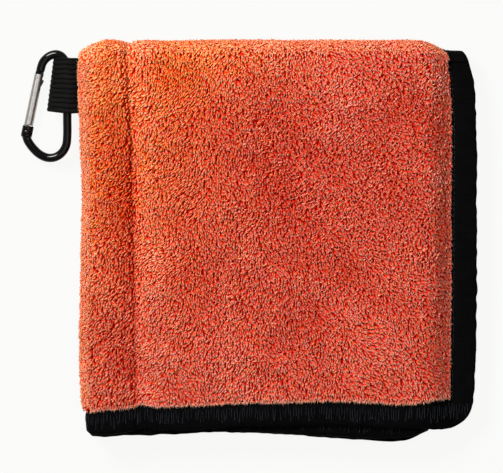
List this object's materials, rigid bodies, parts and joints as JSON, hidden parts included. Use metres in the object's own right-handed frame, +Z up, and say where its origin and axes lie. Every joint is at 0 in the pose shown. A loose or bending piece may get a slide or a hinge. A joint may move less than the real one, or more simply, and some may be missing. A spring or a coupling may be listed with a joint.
{
  "type": "golf towel",
  "caption": "Folded fleece golf towel with black bound edges, a webbing loop at its upper left edge and a spring-gate carabiner on the loop.",
  "frame": {"origin": "middle of the base of the object's box, on the surface it lies on", "axes": "+Z up through the folded packet, +X from the carabiner to the bound outer end, +Y from the open lower edges to the half fold"},
  "size_m": [0.232, 0.2034, 0.021],
  "materials": {
    "fleece": "thick coral-fleece pile on both faces, matte with a soft sheen",
    "binding": "black woven binding tape, matte, slightly gathered",
    "thread": "black polyester sewing thread",
    "webbing": "black ribbed webbing, matte",
    "anodised": "gloss black anodised bar",
    "steel": "bright brushed silver"
  },
  "bodies": {
    "towel_back": {"fleece_back_half": "fleece", "fleece_top_fold": "fleece", "end_binding_back": "binding", "end_binding_top_fold": "binding", "loop_end_binding_back": "binding", "lower_binding_back": "binding", "end_seam_thread_back": "thread", "lower_seam_thread_back": "thread", "loop_end_seam_thread_back": "thread", "loop_box_stitch": "thread", "webbing_tail": "webbing"},
    "towel_front": {"fleece_front_half": "fleece", "end_binding_front": "binding", "loop_end_binding_front": "binding", "lower_binding_front": "binding", "end_seam_thread_front": "thread", "lower_seam_thread_front": "thread", "loop_end_seam_thread_front": "thread"},
    "loop": {"webbing_loop": "webbing"},
    "carabiner": {"carabiner_body": "anodised", "gate_hinge_rivet": "steel"},
    "gate": {"gate_bar": "steel", "gate_latch_pin": "steel", "gate_spring": "steel"},
    "plunger": {"gate_plunger": "steel"}
  },
  "joints": [
    {"name": "half_fold", "type": "hinge", "parent": "towel_back", "child": "towel_front", "pos_m": [0.00004, 0.0912, 0.0105], "axis": [-1, 0, 0], "range_deg": [0, 180], "deforming": ["fleece_top_fold", "end_binding_top_fold"]},
    {"name": "loop_flex", "type": "hinge", "parent": "towel_back", "child": "loop", "pos_m": [-0.08456, -0.0001, 0.0105], "axis": [0, 1, 0], "range_deg": [0, 40], "stiffness_Nm_per_rad": 0.01},
    {"name": "carabiner_swing", "type": "hinge", "parent": "loop", "child": "carabiner", "pos_m": [-0.09226, -0.0001, 0.00712], "axis": [0, 1, 0], "range_deg": [0, 90]},
    {"name": "gate_swing", "type": "hinge", "parent": "carabiner", "child": "gate", "pos_m": [-0.11283, 0.0555, 0.00312], "axis": [0.1908, 0, -0.9816], "range_deg": [0, 24], "stiffness_Nm_per_rad": 0.01, "springref_deg": -34.38, "deforming": ["webbing_loop"]},
    {"name": "plunger_travel", "type": "slide", "parent": "gate", "child": "plunger", "axis": [0.2041, 0.9781, 0.0397], "range_m": [0, 0.0006], "deforming": ["gate_spring"]}
  ],
  "couplings": [
    {"joint": "plunger_travel", "follows": "gate_swing", "m_per_rad": 0.00135}
  ]
}
